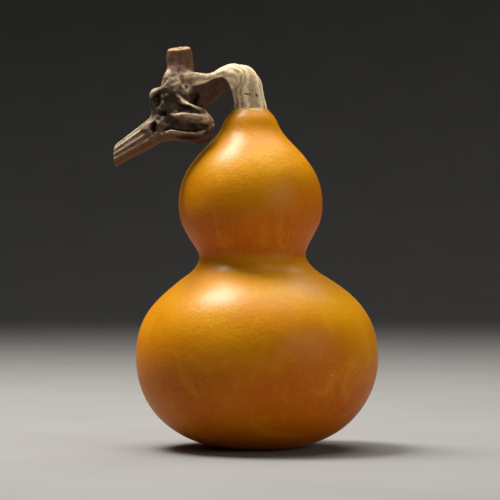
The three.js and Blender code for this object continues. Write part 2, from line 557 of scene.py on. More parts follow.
@dataclass
class GourdFruit:
    """The fruit: its outline turned round a leaning axis, with puckers, a ragged collar and a blossom scar.

    scar_profile and lip_profile are steps outwards and upwards in millimetres, from the base's middle and
    from the rim at the stalk.
    """

    low: Vector
    high: Vector
    name: str = "waxy_fruit"
    lean: float = -0.0188
    lean_from: float = 0.453
    lean_to: float = 0.627
    oval: float = 0.012
    row_gap: float = 0.46 * MM
    sides: int = 336
    swell_height: float = 0.16 * MM
    swell_length: float = 15 * MM
    pucker_height: float = 0.014 * MM
    pucker_length: float = 2.6 * MM
    # How long the waves are that break up the painted shade.
    underside_shade_length: float = 18 * MM
    collar_depth: float = 1.5 * MM
    collar_lift: float = 0.2 * MM
    jag_length: float = 2.4 * MM
    stalk_radius: float = 3.3 * MM
    seat_depth: float = 0.5 * MM
    scar_radius: float = 2.3 * MM
    scar_rim: float = 3.2 * MM
    scar_profile: tuple[tuple[float, float], ...] = (
        (0.0, 0.3),
        (0.35, 0.28),
        (0.7, 0.5),
        (1.1, 0.85),
        (1.6, 0.8),
        (2.2, 0.45),
        (2.8, 0.12),
    )
    lip_profile: tuple[tuple[float, float], ...] = (
        (0.0, 0.0),
        (-0.1, 0.05),
        (-0.25, 0.04),
        (-0.4, -0.1),
        (-0.55, -0.35),
        (-1.4, -0.5),
    )
    waves: Waves = Waves(11)
    bends: tuple[Bend, ...] = (
        Bend(0.1504, 0.0, 0, 0, 0.43),
        Bend(1.0, 0.2706, 90, 0.4, 0.4),
        Bend(0.548, 0.5137, 147, 0.41, 0.3),
        Bend(0.4431, 0.5658, 90, 0.3, 0.3),
        Bend(0.4985, 0.6122, 60, 0.3, 0.39),
        Bend(0.5935, 0.7149, 90, 0.39, 0.39),
        Bend(0.3561, 0.8915, 135, 0.39, 0.34),
        Bend(0.2337, 0.9479, 112, 0.34, 0.39),
        Bend(0.1900, 0.9780, 128, 0.39, 0.39),
        Bend(0.1290, 1.0015, 138, 0.3, 0),
    )

    @property
    def belly(self) -> float:
        """The belly's radius."""
        return (self.high.x - self.low.x) / 2

    @property
    def height(self) -> float:
        """The fruit's height, without the stalk."""
        return self.high.z - self.low.z

    def stretch(self, start: Bend, end: Bend) -> np.ndarray:
        """Draws the outline from one bend to the next.

        Args:
            start: The lower bend.
            end: The upper bend.

        Returns:
            Radii and heights, one row for each point, without the last.
        """
        size = np.array([self.belly, self.height])
        first = np.array([start.radius, start.height]) * size
        last = np.array([end.radius, end.height]) * size
        length = np.linalg.norm(last - first)
        leave, arrive = math.radians(start.heading), math.radians(end.heading)
        second = first + np.array([math.cos(leave), math.sin(leave)]) * length * start.after
        third = last - np.array([math.cos(arrive), math.sin(arrive)]) * length * end.before
        t = np.linspace(0.0, 1.0, max(4, round(length / self.row_gap)), endpoint=False)[:, None]
        return (1 - t) ** 3 * first + 3 * (1 - t) ** 2 * t * second + 3 * (1 - t) * t**2 * third + t**3 * last

    def outline(self) -> np.ndarray:
        """Draws the whole outline, from the middle of the blossom scar to the bottom of the stalk's seat.

        Returns:
            Radii and heights, one row for each point.
        """
        flat = self.bends[0].radius * self.belly
        rim = self.bends[-1].radius * self.belly
        scar = np.array(self.scar_profile) * MM
        foot = np.array([[self.scar_rim, 0.01 * MM], [flat - 0.15 * MM, 0.0]])
        wall = np.vstack([self.stretch(a, b) for a, b in zip(self.bends, self.bends[1:])])
        lip = np.array(self.lip_profile) * MM + np.array([rim, self.height])
        seat = np.array([[0.0, self.height - self.seat_depth]])
        return np.vstack([smooth_line(scar, 4), foot, wall, lip, seat])

    def skin(self) -> Skin:
        """Turns the outline into a closed mesh and gives it its unevenness and its masks.

        Returns:
            The fruit's mesh in the making.
        """
        outline = self.outline()
        rings = outline[1:-1]
        turns = np.linspace(0.0, 2.0 * math.pi, self.sides, endpoint=False)
        ahead = unit(np.gradient(rings, axis=0))
        radius, height = (np.repeat(rings[:, k], self.sides) for k in (0, 1))
        outwards, upwards = np.repeat(ahead[:, 1], self.sides), np.repeat(-ahead[:, 0], self.sides)
        turn = np.tile(turns, len(rings))
        round_x, round_y = np.cos(turn), np.sin(turn)
        squash = 1.0 + self.oval * (np.cos(2.0 * turn) - 1.0)
        points = np.stack([radius * round_x * squash, radius * round_y * squash, height], axis=1)
        points[:, 0] += self.lean * self.height * ease(height / self.height, self.lean_from, self.lean_to)
        normals = np.stack([outwards * round_x, outwards * round_y, upwards], axis=1)
        calm = ease(height, 0.2 * MM, 5 * MM) * ease(height, self.height, self.height - 6 * MM)
        swell = self.waves.layered(points, self.swell_length, 2) * self.swell_height * calm
        pucker = self.waves.at(points + 7.0, self.pucker_length) * self.pucker_height
        collar, ragged = self.collar(points)
        points += normals * (swell + pucker * ease(height, 0.0, 1 * MM))[:, None]
        points[:, 2] += ragged
        points[:, 2] = np.maximum(points[:, 2], 0.0)
        ends = np.array([[0.0, 0.0, outline[0, 1]], [points[-self.sides :, 0].mean(), 0.0, outline[-1, 1]]])
        skin = Skin(np.vstack([points, ends]), self.faces(len(rings)))
        scar = ease(radius, self.scar_radius, self.scar_radius * 0.35) * ease(height, 3 * MM, 1 * MM)
        skin.masks["collar"] = np.append(collar, [0.0, 1.0])
        skin.masks["scar"] = np.append(scar, [1.0, 0.0])
        # Painted shade: this mask rises on faces that look sideways and down, and fades out near the neck.
        underside_shade = ease(normals[:, 2] + 0.25 * self.waves.layered(points, self.underside_shade_length, 2), 0.75, -0.35)
        underside_shade = underside_shade * ease(height / self.height, 0.95, 0.84)
        skin.masks["underside_shade"] = np.append(underside_shade, [1.0, 0.0])
        return skin

    def collar(self, points: np.ndarray) -> tuple[np.ndarray, np.ndarray]:
        """Works out the corky ring round the stalk, where the rind laps up unevenly.

        Args:
            points: The fruit's points before their unevenness.

        Returns:
            How corky each point is, from 0 to 1, and how far it is lifted.
        """
        below = self.height - points[:, 2]
        jagged = self.waves.layered(points * [1.0, 1.0, 0.2], self.jag_length, 3)
        edge = self.collar_depth * (0.1 + 0.7 * jagged - 0.12 * points[:, 0] / self.stalk_radius)
        corky = ease(below, edge + 0.25 * MM, edge - 0.1 * MM)
        lifted = self.collar_lift * jagged * ease(below, 0.9 * MM, 0.0)
        return corky, lifted

    def faces(self, ring_count: int) -> list[tuple[int, ...]]:
        """Joins the rings into quads, and closes both ends with triangles.

        Args:
            ring_count: How many rings there are.

        Returns:
            The faces' point numbers.
        """
        here = np.arange((ring_count - 1) * self.sides)
        aside = here - here % self.sides + (here + 1) % self.sides
        quads = np.stack([here, aside, aside + self.sides, here + self.sides], axis=1).tolist()
        bottom, top = ring_count * self.sides, ring_count * self.sides + 1
        last = (ring_count - 1) * self.sides
        pairs = [(i, (i + 1) % self.sides) for i in range(self.sides)]
        fans = [(bottom, b, a) for a, b in pairs] + [(top, last + a, last + b) for a, b in pairs]
        return [tuple(face) for face in (*quads, *fans)]

    def build(self) -> bpy.types.Object:
        """Builds and dresses the fruit, in place of its plain solid."""
        made = self.skin().piece(self.name)
        made.data.materials.append(RindFinish().material())
        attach(made, "root")
        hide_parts("gourd_fruit")
        return made


# ---------- the stem ----------


class Growth(Enum):
    """What a limb of the stem grew as, which sets how it weathered."""

    STALK = "the fruit's stalk"
    SHOOT = "the vine above the node"
    VINE = "the vine below the node"
    NODE = "the node"
    LIP = "the leaf stalk's lips"
    MOUTH = "the wood between the lips"


@dataclass(frozen=True)
class Rib:
    """A lengthwise rib: the side of the limb that it runs along, in degrees, and its height and width."""

    side: float
    height: float
    width: float = 17.0


@dataclass
class Reach:
    """How points lie to a limb: how far from its bark, how far along it, on which side and how near a rib."""

    distance: np.ndarray
    along: np.ndarray
    side: np.ndarray
    rib: np.ndarray

    def at(self, chosen: np.ndarray) -> "Reach":
        """Picks out some of the points."""
        return Reach(self.distance[chosen], self.along[chosen], self.side[chosen], self.rib[chosen])


@dataclass(frozen=True)
class Limb:
    """A tapering limb with an oval section.

    Each station is x, y and z, then the half width in the upright plane and the half width along Y. side
    counts from the limb's upper side, and -90 is the front. twist is how far the ribs turn between the two
    shares of the limb's length in twist_span.
    """

    growth: Growth
    stations: tuple[tuple[float, float, float, float, float], ...]
    ribs: tuple[Rib, ...] = ()
    twist: float = 0.0
    twist_span: tuple[float, float] = (0.0, 1.0)
    softness: float = 1.0
    fibre: float = 0.07
    steps: int = 5
    far: float = 1.6

    def line(self) -> np.ndarray:
        """Gives the centre line, with the half widths beside each point."""
        return smooth_line(np.array(self.stations), self.steps)

    def reach(self, places: np.ndarray) -> Reach:
        """Measures points against the limb.

        Args:
            places: One row of three coordinates for each point.

        Returns:
            How the points lie to the limb. A point that is well away gets the distance far.
        """
        line = self.line()
        margin = line[:, 3:].max() + self.far
        near = np.all((places > line[:, :3].min(0) - margin) & (places < line[:, :3].max(0) + margin), axis=1)
        close = places[near]
        best = np.full(len(close), np.inf)
        along, side, rib = np.zeros(len(close)), np.zeros(len(close)), np.zeros(len(close))
        walked = 0.0
        for start, end in zip(line, line[1:]):
            ahead = end[:3] - start[:3]
            length = float(np.linalg.norm(ahead))
            ahead = ahead / length
            depth = unit(np.array([0.0, 1.0, 0.0]) - ahead * ahead[1])
            across = np.cross(depth, ahead)
            away = close - start[:3]
            t = np.clip(away @ ahead / length, 0.0, 1.0)
            u, v, w = away @ across, away @ depth, away @ ahead - t * length
            half, deep = start[3] + t * (end[3] - start[3]), start[4] + t * (end[4] - start[4])
            gauge = np.sqrt(u * u + v * v + w * w)
            share = np.sqrt((u / half) ** 2 + (v / deep) ** 2 + (w / np.minimum(half, deep)) ** 2)
            here = gauge * (1.0 - 1.0 / np.maximum(share, 1e-6))
            closer = here < best
            best = np.where(closer, here, best)
            along = np.where(closer, walked + t * length, along)
            side = np.where(closer, np.degrees(np.arctan2(v / deep, u / half)), side)
            walked += length
        side = side - self.twist * ease(along / walked, *self.twist_span)
        for ridge in self.ribs:
            off = np.abs((side - ridge.side + 180.0) % 360.0 - 180.0)
            lift = np.exp(-((off / ridge.width) ** 1.5))
            best = best - ridge.height * lift
            rib = np.maximum(rib, lift)
        whole = Reach(np.full(len(places), self.far), *(np.zeros(len(places)) for _ in range(3)))
        whole.distance[near] = np.minimum(best, self.far)
        whole.along[near], whole.side[near], whole.rib[near] = along, side, rib
        return whole

    def grain(self, reach: Reach, waves: Waves, across: float = 0.9, lengthwise: float = 7.0) -> np.ndarray:
        """Gives the wood's fibres, which run along the limb.

        Args:
            reach: How the points lie to the limb.
            waves: The random waves to read.
            across: How far apart the fibres are.
            lengthwise: How long they are.

        Returns:
            Heights from about -1 to 1.
        """
        thick = float(np.mean([station[3] for station in self.stations]))
        turn = np.radians(reach.side)
        lengthways = reach.along * across / lengthwise
        rolled = np.stack([np.cos(turn) * thick, np.sin(turn) * thick, lengthways], axis=1)
        return waves.layered(rolled, across, 3)


@dataclass(frozen=True)
class Lump:
    """An egg-shaped swelling, pit or patch: its middle, half sizes, how softly it ends and its turn."""

    middle: tuple[float, float, float]
    radii: tuple[float, float, float]
    softness: float = 0.5
    tilt: float = 0.0

    def distance(self, places: np.ndarray) -> np.ndarray:
        """Measures points against the lump.

        Args:
            places: One row of three coordinates for each point.

        Returns:
            Distances to the lump, negative inside it.
        """
        away = places - np.array(self.middle)
        c, s = math.cos(math.radians(self.tilt)), math.sin(math.radians(self.tilt))
        along = away[:, 0] * c + away[:, 2] * s
        up = away[:, 2] * c - away[:, 0] * s
        turned = np.stack([along, away[:, 1], up], axis=1)
        gauge = np.linalg.norm(away, axis=1)
        share = np.linalg.norm(turned / np.array(self.radii), axis=1)
        return gauge * (1.0 - 1.0 / np.maximum(share, 1e-6))


@dataclass(frozen=True)
class Cut:
    """A sawn face: a point on it, the direction of what is cut away, and how rough the saw left it."""

    place: tuple[float, float, float]
    away: tuple[float, float, float]
    rough: float = 0.07

    def distance(self, places: np.ndarray, waves: Waves) -> np.ndarray:
        """Measures points against the cut.

        Args:
            places: One row of three coordinates for each point.
            waves: The random waves that roughen the cut.

        Returns:
            Distances past the cut, negative on the side that is kept.
        """
        flat = (places - np.array(self.place)) @ unit(np.array(self.away))
        near = np.abs(flat) < 0.5
        flat[near] += self.rough * waves.layered(places[near], 1.1, 2)
        return flat


@dataclass(frozen=True)
class Wrap:
    """Wraps a closed mesh of even quads round the inside of a distance field."""

    low: tuple[float, float, float]
    high: tuple[float, float, float]
    cell: float
    coarse: int = 3
    band: float = 1.05

    def grid(self, step: float, counts: Sequence[int]) -> np.ndarray:
        """Gives the points of an even grid from the low corner.

        Args:
            step: The distance from one point to the next.
            counts: How many points there are along each axis.

        Returns:
            One row of three coordinates for each point.
        """
        axes = [self.low[k] + step * np.arange(counts[k]) for k in range(3)]
        return np.stack(np.meshgrid(*axes, indexing="ij"), axis=-1).reshape(-1, 3)

    def sample(self, measure: Callable[[np.ndarray], np.ndarray]) -> np.ndarray:
        """Reads the field on the fine grid, exactly near the surface and roughly elsewhere.

        Args:
            measure: Gives the distance to the surface at each point.

        Returns:
            The field, as a block of numbers.
        """
        wide = self.cell * self.coarse
        counts = [int(math.ceil((self.high[k] - self.low[k]) / wide)) + 1 for k in range(3)]
        rough = measure(self.grid(wide, counts)).reshape(counts)
        block = rough
        for axis in range(3):
            block = np.repeat(block, self.coarse, axis=axis)
        fine = self.grid(self.cell, block.shape)
        near = np.abs(block).reshape(-1) < self.band
        values = block.reshape(-1).copy()
        values[near] = measure(fine[near])
        return values.reshape(block.shape)

    def mesh(self, measure: Callable[[np.ndarray], np.ndarray]) -> tuple[np.ndarray, np.ndarray]:
        """Makes the mesh.

        Args:
            measure: Gives the distance to the surface at each point.

        Returns:
            The points, and the point numbers of each quad.
        """
        block = self.sample(measure)
        inside = block < 0.0
        cells = tuple(n - 1 for n in block.shape)
        total, count = np.zeros((*cells, 3)), np.zeros(cells)
        for axis, (i, j) in itertools.product(range(3), itertools.product((0, 1), repeat=2)):
            offset = np.zeros(3, int)
            offset[(axis + 1) % 3], offset[(axis + 2) % 3] = i, j
            near, far = offset, offset + np.eye(3, dtype=int)[axis]
            a = block[tuple(slice(near[k], near[k] + cells[k]) for k in range(3))]
            b = block[tuple(slice(far[k], far[k] + cells[k]) for k in range(3))]
            crossed = (a < 0.0) != (b < 0.0)
            share = np.where(crossed, a / np.where(crossed, a - b, 1.0), 0.0)
            total += np.where(crossed[..., None], near + share[..., None] * np.eye(3)[axis], 0.0)
            count += crossed
        used = count > 0
        number = np.full(cells, -1)
        number[used] = np.arange(used.sum())
        corner = np.argwhere(used)
        points = (corner + total[used] / count[used][:, None]) * self.cell + np.array(self.low)
        return points, self.quads(inside, number)

    @staticmethod
    def quads(inside: np.ndarray, number: np.ndarray) -> np.ndarray:
        """Lays a quad across each grid edge that the surface crosses.

        Args:
            inside: Whether each grid point is inside.
            number: Each cell's point number, or -1.

        Returns:
            The point numbers of each quad, all facing out.
        """
        found = []
        for axis in range(3):
            step = np.eye(3, dtype=int)
            ahead, aside, beside = step[axis], step[(axis + 1) % 3], step[(axis + 2) % 3]
            here = inside[tuple(slice(0, inside.shape[k] - ahead[k]) for k in range(3))]
            there = inside[tuple(slice(ahead[k], inside.shape[k]) for k in range(3))]
            at = np.argwhere(here != there)
            at = at[np.all((at > 0) & (at < np.array(number.shape)), axis=1)]
            loop = [at - aside - beside, at - beside, at, at - aside]
            quad = np.stack([number[tuple(cell.T)] for cell in loop], axis=1)
            outwards = inside[tuple(at.T)]
            found.append(np.where(outwards[:, None], quad, quad[:, ::-1]))
        quads = np.vstack(found)
        return quads[np.all(quads >= 0, axis=1)]


def settle(points: np.ndarray, quads: np.ndarray, amount: float, rounds: int) -> np.ndarray:
    """Moves each point towards the middle of its neighbours, which takes the steps out of a wrapped mesh.

    Args:
        points: The mesh's points.
        quads: The point numbers of each quad.
        amount: The share of the way that a point moves.
        rounds: How many times it is done.

    Returns:
        The settled points.
    """
    edges = np.vstack([quads[:, [k, (k + 1) % 4]] for k in range(4)])
    count = np.bincount(edges[:, 0], minlength=len(points)) + np.bincount(edges[:, 1], minlength=len(points))
    for _ in range(rounds):
        total = np.zeros_like(points)
        for axis in range(3):
            total[:, axis] = np.bincount(edges[:, 0], points[edges[:, 1], axis], len(points))
            total[:, axis] += np.bincount(edges[:, 1], points[edges[:, 0], axis], len(points))
        points = points + amount * (total / count[:, None] - points)
    return points


def facing(points: np.ndarray, quads: np.ndarray) -> np.ndarray:
    """Gives the direction straight out of a mesh at each of its points.

    Args:
        points: The mesh's points.
        quads: The point numbers of each quad.

    Returns:
        One unit vector for each point.
    """
    a, b, c, d = (points[quads[:, k]] for k in range(4))
    slopes = np.repeat(np.cross(c - a, d - b), 4, axis=0)
    sums = [np.bincount(quads.reshape(-1), slopes[:, k], len(points)) for k in range(3)]
    return unit(np.stack(sums, axis=1))


def largest_part(points: np.ndarray, quads: np.ndarray) -> tuple[np.ndarray, np.ndarray]:
    """Keeps the largest connected part of a mesh.

    Args:
        points: The mesh's points.
        quads: The point numbers of each quad.

    Returns:
        The points and quads that are kept.
    """
    label = np.arange(len(points))
    while True:
        lowest = label.copy()
        np.minimum.at(lowest, quads.reshape(-1), np.repeat(label[quads].min(axis=1), 4))
        lowest = lowest[lowest]
        if np.array_equal(lowest, label):
            break
        label = lowest
    names, sizes = np.unique(label, return_counts=True)
    kept = label == names[np.argmax(sizes)]
    renumber = np.cumsum(kept) - 1
    return points[kept], renumber[quads[kept[quads].all(axis=1)]]


@dataclass
class VineStem:
    """The woody stem: stalk, node, two stubs of vine, the torn leaf stalk's lips and a curled tendril base.

    Its stations are millimetres, with the height counted from the fruit's top.
    """

    top: float
    low: Vector
    high: Vector
    name: str = "woody_stem"
    cell: float = 0.18
    crook: float = 0.42
    crook_length: float = 2.6
    swell: float = 0.3
    wrinkle: float = 0.3
    blend: float = 0.22
    margin: float = 1.6
    groove_reach: float = 0.5
    hollow_reach: float = 1.5
    crest_reach: float = 0.4
    mottle_length: float = 2.2
    blotch_length: float = 1.3
    waves: Waves = Waves(23)
    shade_line: tuple[tuple[float, float], ...] = (
        (-13.2, 4.3),
        (-11.5, 4.8),
        (-10.2, 5.3),
        (-8.8, 6.0),
        (-7.1, 6.35),
        (-6.3, 5.9),
        (-5.8, 5.2),
        (-5.35, 4.3),
        (-5.1, 3.2),
        (-4.9, -3.0),
    )
    stalk: Limb = Limb(
        Growth.STALK,
        (
            (-1.28, 0.0, -0.7, 3.15, 3.15),
            (-1.3, 0.0, 0.0, 3.2, 3.2),
            (-1.36, 0.0, 0.5, 3.08, 3.1),
            (-1.5, 0.0, 1.7, 3.0, 3.0),
            (-1.9, 0.0, 3.6, 3.0, 2.98),
            (-2.35, 0.0, 5.05, 2.88, 2.9),
            (-3.4, 0.0, 6.05, 2.72, 2.85),
            (-4.75, -0.1, 6.3, 2.55, 2.7),
            (-6.3, -0.3, 5.9, 2.3, 2.4),
            (-7.75, -0.5, 5.15, 2.1, 2.15),
            (-9.1, -0.8, 4.25, 2.15, 2.0),
            (-10.4, -1.0, 3.5, 2.6, 2.1),
            (-12.6, -1.4, 3.0, 3.5, 2.3),
        ),
        ribs=(
            Rib(-163, 0.2, 13),
            Rib(-132, 0.26, 8),
            Rib(-105, 0.36, 12),
            Rib(-49, 0.32, 11),
            Rib(-12, 0.2),
            Rib(38, 0.24),
            Rib(85, 0.2),
            Rib(128, 0.24),
            Rib(165, 0.2, 13),
        ),
        twist=95,
        twist_span=(0.22, 0.56),
        fibre=0.08,
    )
    brow: Limb = Limb(
        Growth.STALK,
        (
            (-5.9, -1.7, 7.0, 0.8, 0.8),
            (-7.2, -2.1, 7.0, 0.8, 0.9),
            (-8.6, -2.4, 6.45, 0.85, 0.9),
            (-10.2, -2.6, 5.95, 0.95, 0.95),
            (-12.0, -2.9, 5.9, 1.05, 1.0),
            (-14.1, -2.8, 5.9, 1.2, 1.1),
        ),
        softness=0.45,
        fibre=0.06,
    )
    upper_stub: Limb = Limb(
        Growth.SHOOT,
        (
            (-15.7, 0.5, 13.6, 2.05, 2.1),
            (-15.72, 0.4, 12.1, 2.15, 2.2),
            (-15.77, 0.3, 10.6, 2.68, 2.4),
            (-15.62, 0.1, 9.2, 2.6, 2.45),
            (-15.6, -0.2, 7.8, 2.68, 2.5),
            (-15.75, -0.6, 6.6, 2.85, 2.7),
            (-16.1, -1.1, 4.9, 3.2, 3.0),
        ),
        ribs=(
            Rib(-150, 0.12),
            Rib(-100, 0.12, 14),
            Rib(-50, 0.12),
            Rib(10, 0.14),
            Rib(80, 0.16),
            Rib(150, 0.14),
        ),
        twist=20,
        softness=1.0,
        fibre=0.1,
    )
    lower_stub: Limb = Limb(
        Growth.VINE,
        (
            (-19.2, -1.6, -3.2, 2.4, 2.7),
            (-21.7, -2.0, -5.3, 2.4, 2.35),
            (-23.9, -2.45, -6.85, 2.2, 2.1),
            (-26.1, -2.9, -8.3, 1.95, 1.9),
            (-27.9, -3.3, -9.5, 1.75, 1.75),
            (-30.0, -3.7, -10.9, 1.65, 1.65),
        ),
        ribs=(
            Rib(-18, 0.22, 13),
            Rib(-54, 0.32, 10),
            Rib(-84, 0.22, 8),
            Rib(-114, 0.42, 11),
            Rib(-168, 0.28, 15),
            Rib(25, 0.28),
            Rib(75, 0.35),
            Rib(120, 0.35),
        ),
        twist=10,
        softness=1.0,
        fibre=0.14,
    )
    node_lumps: tuple[Lump, ...] = (
        Lump((-16.2, -1.4, 3.2), (3.3, 3.5, 4.1), 1.4),
        Lump((-17.9, -1.5, 0.97), (2.75, 3.1, 3.5), 1.4),
        Lump((-19.0, -1.7, -1.28), (2.15, 2.7, 2.7), 1.2),
        Lump((-22.3, -3.6, -4.2), (0.8, 0.9, 1.0), 0.5),
        Lump((-19.7, -3.9, -3.6), (0.75, 0.9, 0.7), 0.4),
        Lump((-20.1, -1.9, 1.5), (1.15, 1.0, 2.1), 0.6),
    )
    cheek: Limb = Limb(
        Growth.NODE,
        (
            (-14.5, -1.8, 5.2, 0.5, 0.5),
            (-14.65, -3.4, 3.7, 0.8, 0.8),
            (-14.6, -3.9, 2.5, 0.75, 0.75),
            (-14.0, -4.2, 1.3, 0.6, 0.6),
        ),
        softness=0.7,
    )
    knob: Limb = Limb(
        Growth.NODE,
        (
            (-18.9, -2.2, 3.5, 0.85, 1.2),
            (-20.0, -2.5, 3.35, 0.7, 1.1),
            (-20.85, -2.7, 3.1, 0.6, 1.0),
            (-21.25, -2.8, 2.5, 0.5, 0.95),
            (-21.25, -2.8, 1.6, 0.42, 0.9),
            (-21.05, -2.8, 0.8, 0.4, 0.85),
            (-20.8, -2.7, 0.0, 0.4, 0.8),
            (-20.6, -2.5, -0.9, 0.5, 0.8),
        ),
        softness=0.4,
    )
    fold: Limb = Limb(
        Growth.LIP,
        (
            (-16.15, -4.3, 2.48, 0.32, 0.45),
            (-15.35, -4.7, 1.23, 0.36, 0.5),
            (-14.35, -4.95, 0.5, 0.4, 0.5),
            (-13.05, -5.0, 0.06, 0.42, 0.5),
            (-11.75, -4.8, -0.44, 0.42, 0.5),
            (-10.65, -4.4, -1.0, 0.42, 0.5),
            (-9.95, -3.8, -1.72, 0.45, 0.6),
        ),
        softness=0.4,
        fibre=0.05,
    )
    flap: Limb = Limb(
        Growth.MOUTH,
        (
            (-16.4, -2.2, 0.9, 2.0, 2.1),
            (-13.96, -2.4, -0.4, 1.5, 1.9),
            (-11.74, -2.4, -1.4, 1.1, 1.6),
            (-10.3, -2.4, -2.2, 0.8, 1.3),
        ),
        softness=0.8,
    )
    upper_lip: Limb = Limb(
        Growth.LIP,
        (
            (-18.38, -3.1, -1.1, 0.35, 1.0),
            (-17.08, -3.6, -1.55, 0.55, 1.3),
            (-15.98, -3.9, -1.7, 0.75, 1.5),
            (-14.08, -4.1, -1.9, 0.95, 1.7),
            (-12.18, -4.1, -2.25, 1.15, 1.75),
            (-10.98, -3.9, -2.45, 1.2, 1.6),
            (-10.08, -3.5, -2.7, 1.1, 1.3),
            (-9.48, -3.1, -3.4, 0.7, 1.0),
        ),
        softness=0.35,
        fibre=0.12,
    )
    palate: Limb = Limb(
        Growth.MOUTH,
        (
            (-18.45, -1.7, -3.0, 1.9, 1.8),
            (-15.6, -1.9, -3.5, 1.9, 1.9),
            (-13.0, -2.0, -4.0, 1.8, 1.8),
            (-10.6, -2.1, -4.4, 1.4, 1.4),
        ),
        softness=0.6,
    )
    lower_lip: Limb = Limb(
        Growth.MOUTH,
        (
            (-20.2, -2.6, -5.82, 1.1, 1.6),
            (-18.2, -3.0, -5.87, 0.9, 1.7),
            (-16.2, -3.2, -5.72, 0.8, 1.75),
            (-14.2, -3.3, -6.02, 0.85, 1.7),
            (-12.3, -3.2, -6.22, 0.98, 1.6),
            (-10.9, -3.1, -6.07, 1.0, 1.5),
            (-10.1, -2.9, -5.87, 0.85, 1.2),
        ),
        ribs=(Rib(-120, 0.15, 12),),
        softness=0.5,
        fibre=0.14,
    )
    lip_edge: Limb = Limb(
        Growth.LIP,
        (
            (-19.15, -4.0, -5.42, 0.26, 0.5),
            (-17.85, -4.5, -5.07, 0.3, 0.5),
            (-16.25, -4.8, -4.92, 0.3, 0.55),
            (-14.75, -4.95, -5.27, 0.3, 0.55),
            (-12.85, -4.85, -5.52, 0.3, 0.55),
            (-11.55, -4.5, -5.17, 0.3, 0.5),
            (-10.55, -4.1, -4.82, 0.26, 0.45),
        ),
        softness=0.4,
        fibre=0.04,
    )
    torn_end: Limb = Limb(
        Growth.MOUTH,
        (
            (-9.9, -2.6, -2.4, 0.6, 1.0),
            (-9.5, -2.9, -3.3, 0.6, 1.0),
            (-8.95, -2.9, -3.8, 0.42, 0.85),
            (-8.8, -2.8, -4.15, 0.25, 0.6),
        ),
        softness=0.4,
        fibre=0.3,
    )
    pits: tuple[Lump, ...] = (
        Lump((-14.2, -6.2, -3.75), (4.6, 2.9, 1.45), 0.22, -7),
        Lump((-14.45, -5.4, 0.05), (1.7, 1.2, 0.26), 0.3, -21),
        Lump((-13.95, -5.2, -6.15), (2.7, 1.1, 0.4), 0.35, -3),
        Lump((-8.55, -4.0, 3.05), (3.0, 1.5, 1.5), 0.7, 42),
        Lump((-12.55, -3.9, 1.85), (0.95, 1.5, 1.35), 0.4, -25),
        Lump((-18.95, -4.6, -1.3), (0.95, 1.5, 0.6), 0.6, 12),
        Lump((-20.75, -4.2, -4.05), (0.45, 1.3, 1.0), 0.5, -28),
        Lump((-20.2, -4.2, 1.0), (0.66, 1.45, 1.2), 0.35, -10),
        Lump((-16.45, -5.2, 0.95), (0.5, 0.9, 0.9), 0.4, -35),
        Lump((-1.9, -3.1, 2.6), (0.75, 0.35, 0.16), 0.12, -8),
        Lump((-0.1, -2.65, 2.45), (0.25, 0.4, 0.2), 0.12),
        Lump((-15.72, 0.45, 13.0), (0.95, 0.95, 1.5), 0.3),
        Lump((-29.2, -3.6, -10.3), (1.3, 0.75, 0.7), 0.3, 33),
    )
    cuts: tuple[Cut, ...] = (
        Cut((-15.75, 0.3, 12.35), (-0.09, -0.2, 0.97), 0.09),
        Cut((-28.9, -5.0, -9.9), (-1.0, 0.19, -0.08), 0.12),
    )

    # Patches on the node where shade falls, painted dark: painted shade, partly the node's own dark bark.
    node_dark_and_shade: tuple[Lump, ...] = (
        Lump((-17.9, -4.2, 1.5), (2.5, 3.2, 2.2), 1.2),
        Lump((-19.05, -4.2, -1.55), (1.7, 3.0, 1.5), 1.0),
        Lump((-14.25, -4.8, -0.05), (2.4, 2.0, 0.8), 0.8, -20),
        Lump((-17.25, -4.6, -2.95), (1.7, 2.5, 0.8), 0.8),
        Lump((-12.55, -4.0, 1.95), (1.5, 2.2, 1.5), 0.9, -30),
        Lump((-20.75, -4.2, -3.95), (0.8, 2.0, 1.1), 0.6),
        Lump((-13.95, -5.0, -6.15), (2.7, 1.4, 0.5), 0.4),
    )
    # Pale patches on the node and lips, weighted towards upward faces: partly real pale bark, partly painted
    # light.
    bleached_and_lit: tuple[Lump, ...] = (
        Lump((-16.45, -4.0, 5.05), (1.4, 2.2, 1.1), 1.2),
        Lump((-14.05, -3.0, 6.45), (1.3, 2.4, 0.9), 0.9),
        Lump((-18.05, -2.6, 6.15), (0.7, 2.4, 1.8), 0.8),
        Lump((-20.7, -3.0, 3.3), (1.0, 1.5, 0.7), 0.5, 20),
        Lump((-14.3, -3.8, 3.9), (0.9, 1.6, 1.3), 0.7, -15),
        Lump((-9.3, -3.6, -3.7), (0.6, 1.5, 0.8), 0.5),
        Lump((-22.05, -3.6, -3.85), (1.4, 1.8, 0.6), 0.6, 38),
        Lump((-16.45, -5.2, -1.25), (1.3, 1.8, 0.5), 0.4, -8),
        Lump((-13.85, -5.6, -2.05), (1.5, 1.6, 0.35), 0.4, -12),
        Lump((-10.85, -5.0, -2.55), (1.5, 2.0, 0.9), 0.5, -35),
        Lump((-12.45, -5.2, -0.05), (1.8, 1.0, 0.35), 0.3, -22),
    )

    def limbs(self) -> list[Limb]:
        """Lists the limbs in the order that they grow together."""
        wood = [self.stalk, self.upper_stub, self.lower_stub, self.flap, self.palate, self.cheek]
        lips = [self.upper_lip, self.lower_lip, self.torn_end]
        return [*wood, *lips, self.brow, self.knob, self.fold, self.lip_edge]

    def bent(self, places: np.ndarray) -> np.ndarray:
        """Shifts points a little, most of all round the node, so that folds, ribs and pits come out crooked.

        Args:
            places: One row of three coordinates for each point.

        Returns:
            The shifted points.
        """
        x, z = places[:, 0], places[:, 2]
        straight = np.maximum.reduce([ease(x, -11.0, -7.0), ease(x, -20.5, -23.5), ease(z, 7.0, 9.5)])
        amount = self.crook * (1.0 - 0.72 * straight)
        shifts = [self.waves.layered(places + apart, self.crook_length, 3) for apart in (5.0, 45.0, 85.0)]
        return places + amount[:, None] * np.stack(shifts, axis=1)

